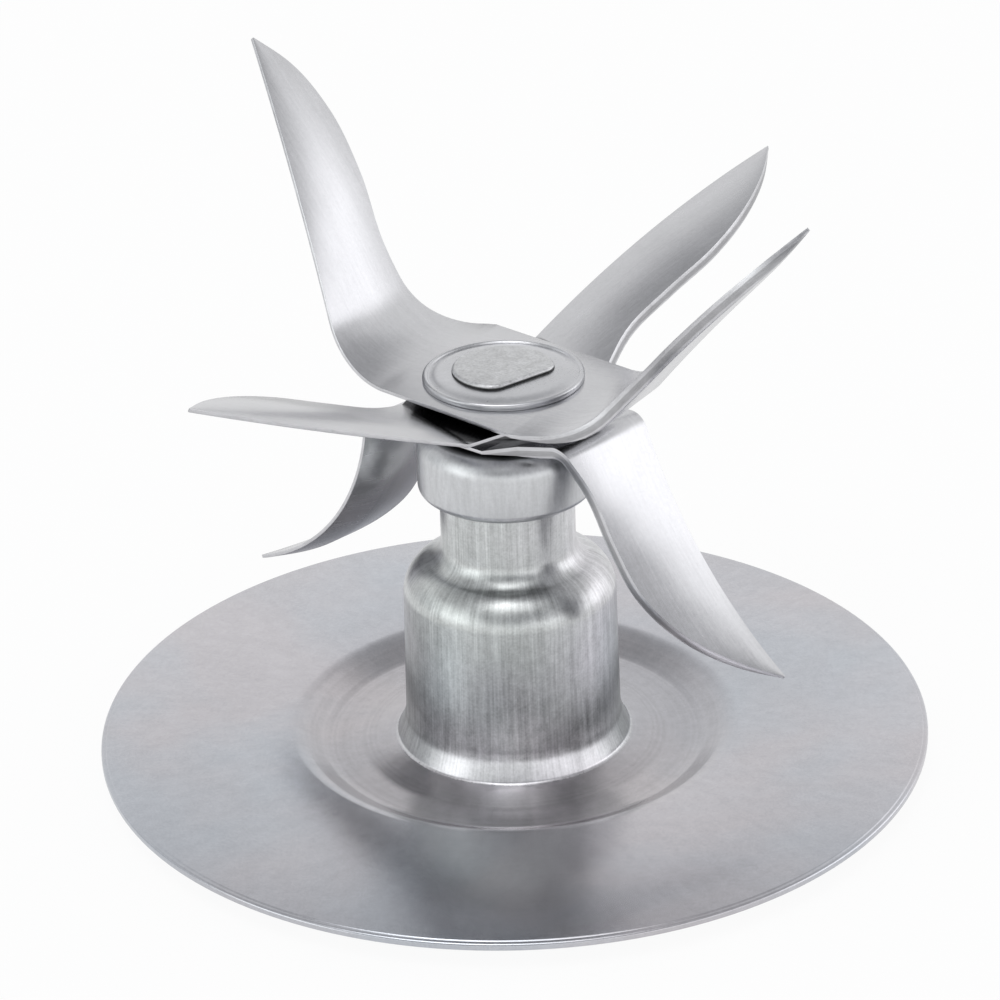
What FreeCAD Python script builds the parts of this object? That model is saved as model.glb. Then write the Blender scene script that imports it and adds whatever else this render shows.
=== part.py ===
import FreeCAD, Part
import math
import os
import Sketcher

# Blade assembly of a kitchen blender.
# A drawn steel base carries a bronze bush; a spindle turns in the bush and holds
# three two-armed blades, a splash cap above the neck and a drive socket below.
# The frame stands on the axis at the underside of the base, with +Z up. Millimetres.

os.makedirs("parts", exist_ok=True)
doc = FreeCAD.newDocument("blender_blade_assembly")
sheet = doc.addObject("Spreadsheet::Sheet", "Sizes")

SIZES = [
    # Drawn base: flange, recess, column, sloping shoulder and neck
    ("base_sheet", 0.6),
    ("bend_middle_share", 0.29),
    ("flange_radius", 31.0),
    ("recess_depth", 1.3),
    ("recess_floor_radius", 14.1),
    ("recess_slope_width", 2.1),
    ("recess_ease", 0.45),
    ("column_radius", 8.08),
    ("column_draw_in", 0.24),
    ("foot_ease", 3.0),
    ("foot_bevel", 2.1),
    ("shoulder_height", 14.85),
    ("shoulder_rise", 1.01),
    ("shoulder_ease", 1.75),
    ("shoulder_bevel", 1.1),
    ("neck_radius", 4.96),
    ("neck_top", 24.2),
    # Bronze bush pressed into the neck from below
    ("press_gap", 0.02),
    ("bush_flange_radius", 5.8),
    ("bush_flange_depth", 1.5),
    ("bush_stub_radius", 4.6),
    ("bush_stub_length", 1.5),
    ("bush_seat_gap", 0.05),
    ("running_gap", 0.03),
    ("bush_chamfer", 0.3),
    # Lip seal above the bush
    ("seal_depth", 1.4),
    ("seal_recess", 0.2),
    ("seal_gap", 0.05),
    # Thrust washers and the end play that they share
    ("thrust_gap", 0.12),
    ("thrust_thick", 1.2),
    ("thrust_radius", 5.3),
    ("low_thrust_thick", 0.9),
    ("low_thrust_side_gap", 0.84),
    ("end_play", 0.1),
    # Spindle with a double-D tang and a riveted head
    ("spindle_radius", 3.0),
    ("spindle_chamfer", 0.3),
    ("tang_radius", 2.5),
    ("tang_flat", 1.9),
    ("tang_turn_angle", -45.5),
    ("tang_gap", 0.05),
    ("head_radius", 3.5),
    ("head_thick", 0.36),
    ("head_cut", 2.25),
    # Drive socket pressed on the lower end of the spindle
    ("socket_radius", 6.2),
    ("socket_length", 10.2),
    ("socket_square", 6.5),
    ("socket_depth", 6.6),
    ("socket_lead_in", 0.5),
    ("socket_grip", 2.8),
    ("socket_bevel", 0.4),
    # Splash cap over the neck
    ("cap_sheet", 0.6),
    ("cap_radius", 6.5),
    ("cap_height", 5.1),
    ("cap_lip_height", 0.5),
    ("cap_lip_draw", 0.75),
    ("cap_ease", 1.2),
    # Spacer, top washer and the stack of blades
    ("blade_thick", 0.9),
    ("spacer_thick", 1.05),
    ("spacer_radius", 4.5),
    ("washer_radius", 5.85),
    ("washer_thick", 0.4),
    ("washer_rim_height", 0.51),
    ("washer_rim_width", 0.3),
    ("washer_dish_radius", 4.9),
    ("washer_seat_height", 0.62),
    # Ground edge of every blade
    ("edge_land", 0.25),
    ("bevel_width", 2.8),
    ("tip_width", 0.3),
    ("tip_blunt", 0.25),
    # Upper blade: both arms rise steeply
    ("upper_turn_angle", 148.0),
    ("upper_flat", 6.89),
    ("upper_length", 34.84),
    ("upper_bend_radius", 6.58),
    ("upper_bend_angle_first", 62.6),
    ("upper_bend_angle_second", 49.5),
    ("upper_curl_angle_first", -14.0),
    ("upper_curl_angle_second", -5.7),
    ("upper_lead_root", 5.65),
    ("upper_lead_mid", 1.12),
    ("upper_lead_tip", -5.1),
    ("upper_back_root", -7.55),
    ("upper_back_near", -6.03),
    ("upper_back_low", -5.75),
    ("upper_back_mid", -7.2),
    ("upper_back_high", -7.85),
    ("upper_back_tip", -6.9),
    ("upper_hub_along", 5.5),
    ("upper_hub_across", 8.06),
    ("upper_waist_along", 6.2),
    ("upper_waist_across", 7.85),
    # Middle blade: both arms rise gently
    ("middle_turn_angle", 34.1),
    ("middle_flat", 7.0),
    ("middle_length", 33.17),
    ("middle_bend_radius", 1.4),
    ("middle_bend_angle_first", 26.0),
    ("middle_bend_angle_second", 22.9),
    ("middle_curl_angle_first", -13.2),
    ("middle_curl_angle_second", 2.3),
    ("middle_lead_root", 6.18),
    ("middle_lead_mid", 7.86),
    ("middle_lead_tip", 9.1),
    ("middle_back_root", -2.5),
    ("middle_back_near", 0.0),
    ("middle_back_low", 0.78),
    ("middle_back_mid", 1.53),
    ("middle_back_high", 3.59),
    ("middle_back_tip", 6.54),
    ("middle_hub_along", 2.6),
    ("middle_hub_across", 6.1),
    ("middle_waist_along", 4.9),
    ("middle_waist_across", 3.9),
    # Lower blade: both arms drop beside the cap and flatten out above the base
    ("lower_turn_angle", 134.5),
    ("lower_flat", 6.6),
    ("lower_length", 28.8),
    ("lower_bend_radius", 1.1),
    ("lower_bend_angle_first", -79.3),
    ("lower_bend_angle_second", -62.7),
    ("lower_curl_angle_first", 59.3),
    ("lower_curl_angle_second", 26.7),
    ("lower_lead_root", 6.52),
    ("lower_lead_mid", 6.16),
    ("lower_lead_tip", 6.42),
    ("lower_back_root", -1.86),
    ("lower_back_near", -0.65),
    ("lower_back_low", -0.71),
    ("lower_back_mid", -0.6),
    ("lower_back_high", 1.11),
    ("lower_back_tip", 4.0),
    ("lower_hub_along", 3.24),
    ("lower_hub_across", 5.57),
    ("lower_waist_along", 4.6),
    ("lower_waist_across", 3.4),
]
for row, (alias, number) in enumerate(SIZES, start=1):
    sheet.set("A%d" % row, str(number))
    sheet.setAlias("A%d" % row, alias)
doc.recompute()


def named(formula):
    # Names the cells of the sheet in a formula of sizes
    for alias in sorted((alias for alias, number in SIZES), key=len, reverse=True):
        formula = formula.replace("<" + alias + ">", "Sizes." + alias)
    return formula


def value(formula):
    # Number that a formula of sizes comes to
    result = sheet.evalExpression(named(formula))
    return float(getattr(result, "Value", result))


def bind(thing, prop, formula):
    thing.setExpression(prop, named(formula))


# Heights of the stack, from the top of the neck up and from the bush down
SHOULDER_SLOPE = "(<shoulder_rise> / (<column_radius> - <column_draw_in> - <neck_radius>))"
SHOULDER_OFFSET = "(<base_sheet> * tan((90deg - atan(%s)) / 2))" % SHOULDER_SLOPE
SEAT_RUN = "(<column_radius> - <column_draw_in> - <base_sheet> - <bush_flange_radius>)"
SEAT_DROP = "(%s - %s * %s)" % (SHOULDER_OFFSET, SEAT_RUN, SHOULDER_SLOPE)
BUSH_SEAT = "(<shoulder_height> - %s - <bush_seat_gap>)" % SEAT_DROP
BUSH_LOW = "(%s - <bush_flange_depth> - <bush_stub_length>)" % BUSH_SEAT
BUSH_TOP = "(<neck_top> - <seal_recess> - <seal_depth>)"
SOCKET_TOP = "(%s - <end_play> - <low_thrust_thick>)" % BUSH_LOW
SPINDLE_LOW = "(%s - <socket_grip>)" % SOCKET_TOP
SHAFT_TOP = "(<neck_top> + <thrust_thick> + <end_play>)"
LOWER_LEVEL = "(%s + <cap_sheet>)" % SHAFT_TOP
SPACER_LEVEL = "(%s + <blade_thick>)" % LOWER_LEVEL
MIDDLE_LEVEL = "(%s + <spacer_thick>)" % SPACER_LEVEL
UPPER_LEVEL = "(%s + <blade_thick>)" % MIDDLE_LEVEL
WASHER_LEVEL = "(%s + <blade_thick>)" % UPPER_LEVEL
HEAD_LEVEL = "(%s + <washer_seat_height>)" % WASHER_LEVEL


def placed(height, turn):
    # Place on the axis at a height, turned about it
    return FreeCAD.Placement(FreeCAD.Vector(0, 0, height), FreeCAD.Rotation(FreeCAD.Vector(0, 0, 1), turn))


def new_body(node, level, turn=None):
    body = doc.addObject("PartDesign::Body", node)
    body.Label = node
    bind(body, "Placement.Base.z", level)
    if turn:
        body.Placement = placed(0, 10)
        bind(body, "Placement.Rotation.Angle", turn)
    return body


def origin_plane(body, role):
    return [plane for plane in body.Origin.OriginFeatures if plane.Role == role][0]


def new_sketch(body, name, role, offset=None):
    sketch = body.newObject("Sketcher::SketchObject", name)
    sketch.AttachmentSupport = [(origin_plane(body, role), "")]
    sketch.MapMode = "FlatFace"
    if offset:
        bind(sketch, "AttachmentOffset.Base.z", offset)
    return sketch


def hold(sketch, kind, places, formula):
    # Adds a dimension and ties it to the sizes
    index = sketch.addConstraint(Sketcher.Constraint(kind, *places, value(formula)))
    bind(sketch, "Constraints[%d]" % index, formula)


def outline(sketch, corners):
    # Closed outline of straight lines through corners given as formulas
    points = [(value(across), value(up)) for across, up in corners]
    count = len(points)
    for i in range(count):
        line(sketch, points[i], points[(i + 1) % count])
    for i, (across, up) in enumerate(corners):
        sketch.addConstraint(Sketcher.Constraint("Coincident", i, 2, (i + 1) % count, 1))
        if across == "0":
            sketch.addConstraint(Sketcher.Constraint("PointOnObject", i, 1, -2))
        else:
            hold(sketch, "DistanceX", (-1, 1, i, 1), across)
        if up == "0":
            sketch.addConstraint(Sketcher.Constraint("PointOnObject", i, 1, -1))
        else:
            hold(sketch, "DistanceY", (-1, 1, i, 1), up)


def eased(across, up, first, second, size):
    # Three corners that follow a bend in the sheet, in place of the sharp one between two legs
    middle = (first[0] + " + " + second[0], first[1] + " + " + second[1])
    corners = []
    for leg, share in ((first, "1"), (middle, "<bend_middle_share>"), (second, "1")):
        reach = " + (%s) * " + share + " * " + size
        corners.append((across + reach % leg[0], up + reach % leg[1]))
    return corners


def circle(sketch, radius):
    whole = Part.Circle(FreeCAD.Vector(0, 0, 0), FreeCAD.Vector(0, 0, 1), value(radius))
    index = sketch.addGeometry(whole, False)
    sketch.addConstraint(Sketcher.Constraint("Coincident", index, 3, -1, 1))
    hold(sketch, "Radius", (index,), radius)


def arc(sketch, radius, start, end):
    # Arc about the axis, with its angles in radians
    whole = Part.Circle(FreeCAD.Vector(0, 0, 0), FreeCAD.Vector(0, 0, 1), radius)
    return sketch.addGeometry(Part.ArcOfCircle(whole, start, end), False)


def line(sketch, start, end):
    return sketch.addGeometry(Part.LineSegment(FreeCAD.Vector(*start, 0), FreeCAD.Vector(*end, 0)), False)


def double_flat(sketch, radius, flat):
    # Round outline with two parallel flats
    size = value(radius)
    half = math.acos(value(flat) / size)
    upper = arc(sketch, size, half, math.pi - half)
    lower = arc(sketch, size, math.pi + half, 2 * math.pi - half)
    across = size * math.cos(half)
    up = size * math.sin(half)
    left = line(sketch, (-across, up), (-across, -up))
    right = line(sketch, (across, -up), (across, up))
    sketch.addConstraint(Sketcher.Constraint("Coincident", upper, 3, -1, 1))
    sketch.addConstraint(Sketcher.Constraint("Coincident", lower, 3, -1, 1))
    for first, second in ((upper, left), (left, lower), (lower, right), (right, upper)):
        sketch.addConstraint(Sketcher.Constraint("Coincident", first, 2, second, 1))
    sketch.addConstraint(Sketcher.Constraint("Vertical", left))
    sketch.addConstraint(Sketcher.Constraint("Vertical", right))
    sketch.addConstraint(Sketcher.Constraint("Equal", upper, lower))
    hold(sketch, "Radius", (upper,), radius)
    hold(sketch, "DistanceX", (left, 1, -1, 1), flat)
    hold(sketch, "DistanceX", (-1, 1, right, 1), flat)


def single_flat(sketch, radius, flat):
    # Round outline with one flat
    size = value(radius)
    half = math.acos(value(flat) / size)
    bow = arc(sketch, size, half, 2 * math.pi - half)
    across = size * math.cos(half)
    up = size * math.sin(half)
    edge = line(sketch, (across, -up), (across, up))
    sketch.addConstraint(Sketcher.Constraint("Coincident", bow, 3, -1, 1))
    sketch.addConstraint(Sketcher.Constraint("Coincident", bow, 2, edge, 1))
    sketch.addConstraint(Sketcher.Constraint("Coincident", edge, 2, bow, 1))
    sketch.addConstraint(Sketcher.Constraint("Vertical", edge))
    hold(sketch, "Radius", (bow,), radius)
    hold(sketch, "DistanceX", (-1, 1, edge, 1), flat)


def square(sketch, side):
    half = "<%s> / 2" % side
    size = value(half)
    corners = [(-size, -size), (size, -size), (size, size), (-size, size)]
    for i in range(4):
        line(sketch, corners[i], corners[(i + 1) % 4])
    for i in range(4):
        sketch.addConstraint(Sketcher.Constraint("Coincident", i, 2, (i + 1) % 4, 1))
        sketch.addConstraint(Sketcher.Constraint("Vertical" if i % 2 else "Horizontal", i))
    hold(sketch, "DistanceX", (0, 1, -1, 1), half)
    hold(sketch, "DistanceX", (-1, 1, 1, 1), half)
    hold(sketch, "DistanceY", (0, 1, -1, 1), half)
    hold(sketch, "DistanceY", (-1, 1, 2, 2), half)


def pad(body, name, sketch, length):
    feature = body.newObject("PartDesign::Pad", name)
    feature.Profile = sketch
    bind(feature, "Length", length)
    doc.recompute()
    return feature


def pocket(body, name, sketch, length, downwards):
    # Cuts towards -Z of the sketch, or towards +Z, and makes sure that it takes material away
    before = body.Shape.Volume
    feature = body.newObject("PartDesign::Pocket", name)
    feature.Profile = sketch
    feature.Reversed = not downwards
    bind(feature, "Length", length)
    doc.recompute()
    if not body.Shape.Volume < before:
        raise RuntimeError(name + " cuts nothing")
    return feature


def revolve(body, name, sketch):
    feature = body.newObject("PartDesign::Revolution", name)
    feature.Profile = sketch
    feature.ReferenceAxis = (sketch, ["V_Axis"])
    feature.Angle = 360.0
    doc.recompute()
    return feature


def ring_edge(shape, radius, height):
    # Name of the circular edge about the axis that lies at a radius and a height
    def miss(edge):
        return abs(edge.Curve.Radius - radius) + abs(edge.Curve.Center.z - height)
    edges = enumerate(shape.Edges, start=1)
    return "Edge%d" % min((miss(edge), i) for i, edge in edges if isinstance(edge.Curve, Part.Circle))[1]


def break_rings(body, name, places, size):
    # Chamfers circular edges
    base = body.Tip
    edges = [ring_edge(base.Shape, value(across), value(up)) for across, up in places]
    feature = body.newObject("PartDesign::Chamfer", name)
    feature.Base = (base, edges)
    bind(feature, "Size", size)
    doc.recompute()
    return feature


def ring(node, level, inner, outer, thick):
    # Flat washer
    body = new_body(node, level)
    sketch = new_sketch(body, node + "_rings", "XY_Plane")
    circle(sketch, outer)
    circle(sketch, inner)
    pad(body, node + "_disc", sketch, thick)
    return body


def base_housing():
    # One drawn sheet: its upper line from the rim to the neck, then its under side back to the rim
    body = new_body("base_housing", "0")
    slope = "(<recess_depth> / <recess_slope_width>)"
    slip = "(<base_sheet> * tan(atan(%s) / 2))" % slope
    rim_top = "(<recess_depth> + <base_sheet>)"
    slope_top = "(<recess_floor_radius> + <recess_slope_width>)"
    shoulder = "(<column_radius> - <column_draw_in>)"
    neck_foot = "(<shoulder_height> + <shoulder_rise>)"
    column_bore = "(%s - <base_sheet>)" % shoulder
    ceiling = "(<shoulder_height> - %s)" % SHOULDER_OFFSET
    foot = eased("<column_radius>", "<base_sheet>", ("1", "0"), ("0", "1"), "<foot_ease>")
    bend = eased(shoulder, "<shoulder_height>", ("0", "-1"), ("-1", SHOULDER_SLOPE), "<shoulder_ease>")
    sketch = new_sketch(body, "base_profile", "XZ_Plane")
    outline(sketch, [
        ("<flange_radius>", rim_top),
        (slope_top + " + <recess_ease>", rim_top),
        (slope_top + " - <recess_ease>", rim_top + " - <recess_ease> * " + slope),
        ("<recess_floor_radius>", "<base_sheet>"),
    ] + foot + bend + [
        ("<neck_radius>", neck_foot),
        ("<neck_radius>", "<neck_top>"),
        ("<neck_radius> - <base_sheet>", "<neck_top>"),
        ("<neck_radius> - <base_sheet>", neck_foot + " - " + SHOULDER_OFFSET),
        (column_bore + " - <shoulder_bevel>", ceiling + " + <shoulder_bevel> * " + SHOULDER_SLOPE),
        (column_bore, ceiling + " - <shoulder_bevel>"),
        (column_bore, "<foot_bevel>"),
        (column_bore + " + <foot_bevel>", "0"),
        ("<recess_floor_radius> + " + slip, "0"),
        (slope_top + " + " + slip, "<recess_depth>"),
        ("<flange_radius>", "<recess_depth>"),
    ])
    revolve(body, "base_drawn", sketch)
    return body


def bearing_bush():
    # Flanged bush whose flange seats under the sloping shoulder
    body = new_body("bearing_bush", BUSH_LOW)
    bore = "(<spindle_radius> + <running_gap>)"
    neck = "(<neck_radius> - <base_sheet> - <press_gap>)"
    rim = "(<bush_stub_length> + <bush_flange_depth>)"
    cone = "(%s + (<bush_flange_radius> - %s) * %s)" % (rim, neck, SHOULDER_SLOPE)
    length = "(%s - %s)" % (BUSH_TOP, BUSH_LOW)
    sketch = new_sketch(body, "bush_profile", "XZ_Plane")
    outline(sketch, [
        (bore, "0"),
        ("<bush_stub_radius>", "0"),
        ("<bush_stub_radius>", "<bush_stub_length>"),
        ("<bush_flange_radius>", "<bush_stub_length>"),
        ("<bush_flange_radius>", rim),
        (neck, cone),
        (neck, length),
        (bore, length),
    ])
    revolve(body, "bush_turned", sketch)
    break_rings(body, "bush_lead_in", [(neck, length)], "<bush_chamfer>")
    return body


def spindle():
    # Ground shaft, tang for the blades and riveted head with its one flat
    body = new_body("spindle", SPINDLE_LOW, "<tang_turn_angle>")
    shaft_length = "(%s - %s)" % (SHAFT_TOP, SPINDLE_LOW)
    tang_length = "(%s - %s)" % (HEAD_LEVEL, SHAFT_TOP)
    shaft = new_sketch(body, "shaft_circle", "XY_Plane")
    circle(shaft, "<spindle_radius>")
    pad(body, "shaft", shaft, shaft_length)
    break_rings(body, "shaft_end", [("<spindle_radius>", "0")], "<spindle_chamfer>")
    tang = new_sketch(body, "tang_outline", "XY_Plane", shaft_length)
    double_flat(tang, "<tang_radius>", "<tang_flat>")
    pad(body, "tang", tang, tang_length)
    head = new_sketch(body, "head_outline", "XY_Plane", shaft_length + " + " + tang_length)
    single_flat(head, "<head_radius>", "<head_cut>")
    pad(body, "head", head, "<head_thick>")
    return body


def drive_socket():
    # Turned cylinder with a square hole from below and the spindle's bore from above
    body = new_body("drive_socket", SOCKET_TOP + " - <socket_length>")
    outside = new_sketch(body, "socket_circle", "XY_Plane")
    circle(outside, "<socket_radius>")
    pad(body, "socket_cylinder", outside, "<socket_length>")
    ends = [("<socket_radius>", "0"), ("<socket_radius>", "<socket_length>")]
    break_rings(body, "socket_edges", ends, "<socket_bevel>")
    bore = new_sketch(body, "socket_bore_circle", "XY_Plane", "<socket_length>")
    circle(bore, "<spindle_radius> + <press_gap>")
    pocket(body, "socket_bore", bore, "<socket_grip>", True)
    hole = new_sketch(body, "socket_square_outline", "XY_Plane")
    square(hole, "socket_square")
    pocket(body, "socket_square_hole", hole, "<socket_depth>", False)
    base = body.Tip
    half = value("<socket_square> / 2")
    mouth = []
    for i, edge in enumerate(base.Shape.Edges, start=1):
        middle = edge.CenterOfMass
        if abs(middle.z) < 0.001 and abs(max(abs(middle.x), abs(middle.y)) - half) < 0.001:
            mouth.append("Edge%d" % i)
    lead_in = body.newObject("PartDesign::Chamfer", "socket_lead_in_faces")
    lead_in.Base = (base, mouth)
    bind(lead_in, "Size", "<socket_lead_in>")
    doc.recompute()
    return body


def slinger_cap():
    # Cap drawn over the top of the neck, its lower edge turned in a little
    body = new_body("slinger_cap", SHAFT_TOP + " + <cap_sheet> - <cap_height>", "<tang_turn_angle>")
    lip = "(<cap_radius> - <cap_lip_draw>)"
    inside = "(<cap_radius> - <cap_sheet>)"
    ceiling = "(<cap_height> - <cap_sheet>)"
    bend = eased("<cap_radius>", "<cap_height>", ("-1", "0"), ("0", "-1"), "<cap_ease>")
    profile = new_sketch(body, "cap_profile", "XZ_Plane")
    outline(profile, [("0", "<cap_height>")] + bend + [
        ("<cap_radius>", "<cap_lip_height>"),
        (lip, "0"),
        (lip, "<cap_lip_height>"),
        (inside, "<cap_lip_height> + <cap_sheet> / 2"),
        (inside, ceiling),
        ("0", ceiling),
    ])
    revolve(body, "cap_drawn", profile)
    hole = new_sketch(body, "cap_hole_outline", "XY_Plane", "<cap_height>")
    double_flat(hole, "<tang_radius> + <tang_gap>", "<tang_flat> + <tang_gap>")
    pocket(body, "cap_hole", hole, "<cap_sheet>", True)
    return body


def top_washer():
    # Dished washer: raised under the riveted head and again along its rim
    body = new_body("top_washer", WASHER_LEVEL)
    hole = "(<tang_radius> + <tang_gap>)"
    sketch = new_sketch(body, "washer_profile", "XZ_Plane")
    outline(sketch, [
        (hole, "0"),
        ("<washer_radius>", "0"),
        ("<washer_radius>", "<washer_rim_height> - <washer_rim_width> / 2"),
        ("<washer_radius> - <washer_rim_width>", "<washer_rim_height>"),
        ("<washer_dish_radius>", "<washer_thick>"),
        ("<head_radius>", "<washer_seat_height>"),
        (hole, "<washer_seat_height>"),
    ])
    revolve(body, "washer_pressed", sketch)
    return body


def follow(places, heights, at):
    # Smooth curve through a few stations: each slope is that of its two neighbours
    count = len(places)
    steps = [places[i + 1] - places[i] for i in range(count - 1)]
    rates = [(heights[i + 1] - heights[i]) / steps[i] for i in range(count - 1)]
    slopes = [rates[0]]
    for i in range(1, count - 1):
        slopes.append((rates[i - 1] * steps[i] + rates[i] * steps[i - 1]) / (steps[i - 1] + steps[i]))
    slopes.append(rates[-1])
    i = max(k for k in range(count - 1) if k == 0 or places[k] <= at)
    f = (at - places[i]) / steps[i]
    start = heights[i] * (1 + 2 * f) * (1 - f) ** 2 + steps[i] * slopes[i] * f * (1 - f) ** 2
    end = heights[i + 1] * f * f * (3 - 2 * f) + steps[i] * slopes[i + 1] * f * f * (f - 1)
    return start + end


def lead_line(blade, at):
    # Ground edge: distance from the arm's centre line, by the length along the arm
    root = value("<%s_flat>" % blade)
    tip = value("<%s_length>" % blade)
    f = (at - root) / (tip - root)
    ends = [value("<%s_lead_%s>" % (blade, place)) for place in ("root", "mid", "tip")]
    return ends[0] * (1 - f) * (1 - 2 * f) + ends[1] * 4 * f * (1 - f) + ends[2] * f * (2 * f - 1)


def back_line(blade, at):
    # Plain edge of the arm, which meets the ground edge at the tip
    root = value("<%s_flat>" % blade)
    tip = value("<%s_length>" % blade)
    places = [root + share * (tip - root) for share in (0.0, 0.18, 0.36, 0.55, 0.74, 0.90, 1.0)]
    names = ("root", "near", "low", "mid", "high", "tip")
    heights = [value("<%s_back_%s>" % (blade, name)) for name in names]
    return follow(places, heights + [value("<%s_lead_tip>" % blade)], at)


def along_arc(length, start, turn, whole):
    # Travel out and up along an arc that turns evenly from its starting slope
    rate = turn / whole
    end = start + rate * length
    if abs(rate) < 1e-9:
        return length * math.cos(start), length * math.sin(start), end
    return (math.sin(end) - math.sin(start)) / rate, (math.cos(start) - math.cos(end)) / rate, end


def arm_path(blade, bend, curl, at):
    # Point and slope of the middle of the sheet at a length along the arm
    flat = value("<%s_flat>" % blade)
    if at <= flat:
        return at, 0.0, 0.0
    bent = value("<%s_bend_radius>" % blade) * abs(bend)
    out, up, slope = along_arc(min(at - flat, bent), 0.0, bend, bent)
    if at - flat > bent:
        whole = value("<%s_length>" % blade) - flat - bent
        more = along_arc(at - flat - bent, slope, curl, whole)
        out, up, slope = out + more[0], up + more[1], more[2]
    return flat + out, up, slope


def hub_line(blade, at):
    # The ground edge runs on straight across the hub, past the corner where the plate ends
    flat = value("<%s_flat>" % blade)
    along = value("<%s_hub_along>" % blade)
    across = value("<%s_hub_across>" % blade)
    return across + (lead_line(blade, flat) - across) * (at + along) / (flat + along)


def across_arm(blade, bend, curl, at, corners):
    # Polygon square to the arm, with its corners given across the arm and through the sheet
    out, up, slope = arm_path(blade, bend, curl, at)
    points = []
    for across, rise in corners:
        points.append(FreeCAD.Vector(out - rise * math.sin(slope), across, up + rise * math.cos(slope)))
    return Part.makePolygon(points + points[:1])


def grind_slope():
    return value("(<blade_thick> - <edge_land>) / <bevel_width>")


def arm_section(blade, bend, curl, at):
    # Section of the arm, ground from below along its leading edge; it thins out towards the tip
    half = value("<blade_thick> / 2")
    sharp = half - value("<edge_land>")
    bevel = value("<bevel_width>")
    lead = lead_line(blade, at)
    back = back_line(blade, at)
    share = min(1.0, (lead - back - value("<tip_width> / 2")) / (3 * bevel))
    ground = bevel * (1 - (1 - share) ** 3)
    low = sharp - grind_slope() * ground
    corners = [(lead, half), (back, half), (back, low), (lead - ground, low), (lead, sharp)]
    return across_arm(blade, bend, curl, at, corners)


def wedge_section(blade, bend, curl, at):
    # What grinding takes off the sheet: the ground edge of the other arm runs on past the hub
    half = value("<blade_thick> / 2")
    sharp = half - value("<edge_land>")
    over = value("<blade_thick>")
    edge = -hub_line(blade, -at)
    foot = edge + value("<bevel_width>") + over / grind_slope()
    under = -half - over
    corners = [(edge - over, sharp + over * grind_slope()), (foot, under), (edge - over, under)]
    return across_arm(blade, bend, curl, at, corners)


def loft(section, blade, bend, curl, places):
    return Part.makeLoft([section(blade, bend, curl, at) for at in places], True, False)


def arm(blade, bend, curl):
    # Bend and blade of one arm, each lofted through its sections
    flat = value("<%s_flat>" % blade)
    bent = value("<%s_bend_radius>" % blade) * abs(bend)
    tip = value("<%s_length> - <tip_blunt>" % blade)
    root_places = [flat + bent * i / 4 for i in range(5)]
    blade_places = [flat + bent + (tip - flat - bent) * i / 7 for i in range(8)]
    root = loft(arm_section, blade, bend, curl, root_places)
    rest = loft(arm_section, blade, bend, curl, blade_places)
    if back_line(blade, flat) + hub_line(blade, -flat) < value("<bevel_width>"):
        root = root.cut(loft(wedge_section, blade, bend, curl, root_places))
    return root.fuse(rest)


def hub_plate(blade):
    # Flat middle of a blade, the same after half a turn, with both ground edges run across it
    flat = value("<%s_flat>" % blade)
    side = [(flat, back_line(blade, flat)), (flat, lead_line(blade, flat))]
    side.append((-value("<%s_hub_along>" % blade), value("<%s_hub_across>" % blade)))
    side.append((-value("<%s_waist_along>" % blade), value("<%s_waist_across>" % blade)))
    corners = side + [(-along, -across) for along, across in side]
    thick = value("<blade_thick>")
    points = [FreeCAD.Vector(along, across, -thick / 2) for along, across in corners]
    plate = Part.Face(Part.makePolygon(points + points[:1])).extrude(FreeCAD.Vector(0, 0, thick))
    for turn in (0, 180):
        tool = loft(wedge_section, blade, 0.0, 0.0, (-flat, flat))
        tool.rotate(FreeCAD.Vector(0, 0, 0), FreeCAD.Vector(0, 0, 1), turn)
        plate = plate.cut(tool)
    return plate


def tang_hole(turn):
    # Tool that cuts the double-D hole
    radius = value("<tang_radius> + <tang_gap>")
    flat = value("<tang_flat> + <tang_gap>")
    deep = value("2 * <blade_thick>")
    block = Part.makeBox(2 * flat, 2 * radius, 2 * deep, FreeCAD.Vector(-flat, -radius, -deep))
    tool = Part.makeCylinder(radius, 2 * deep, FreeCAD.Vector(0, 0, -deep)).common(block)
    tool.rotate(FreeCAD.Vector(0, 0, 0), FreeCAD.Vector(0, 0, 1), turn)
    return tool


def blade_node(blade, level):
    # One pressed blade: hub plate and two arms half a turn apart, in one sheet
    turn = value("<%s_turn_angle>" % blade)
    shape = hub_plate(blade)
    for i, place in enumerate(("first", "second")):
        bend = math.radians(value("<%s_bend_angle_%s>" % (blade, place)))
        curl = math.radians(value("<%s_curl_angle_%s>" % (blade, place)))
        one = arm(blade, bend, curl)
        one.rotate(FreeCAD.Vector(0, 0, 0), FreeCAD.Vector(0, 0, 1), 180 * i)
        shape = shape.fuse(one)
    shape = shape.cut(tang_hole(value("<tang_turn_angle>") - turn))
    node = doc.addObject("Part::Feature", blade + "_blade")
    node.Label = blade + "_blade"
    node.Shape = shape.Solids[0] if len(shape.Solids) == 1 else shape
    node.Placement = placed(value(level + " + <blade_thick> / 2"), turn)
    return node


nodes = [
    base_housing(),
    bearing_bush(),
    ring("shaft_seal", BUSH_TOP, "<spindle_radius> + <seal_gap>",
         "<neck_radius> - <base_sheet> - <press_gap>", "<seal_depth>"),
    ring("upper_thrust_washer", "<neck_top>", "<spindle_radius> + <thrust_gap>",
         "<thrust_radius>", "<thrust_thick>"),
    ring("lower_thrust_washer", SOCKET_TOP, "<spindle_radius> + <press_gap>",
         "<column_radius> - <column_draw_in> - <base_sheet> - <low_thrust_side_gap>", "<low_thrust_thick>"),
    spindle(),
    drive_socket(),
    slinger_cap(),
    ring("blade_spacer", SPACER_LEVEL, "<tang_radius> + <tang_gap>", "<spacer_radius>", "<spacer_thick>"),
    top_washer(),
    blade_node("lower", LOWER_LEVEL),
    blade_node("middle", MIDDLE_LEVEL),
    blade_node("upper", UPPER_LEVEL),
]
doc.recompute()

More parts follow.
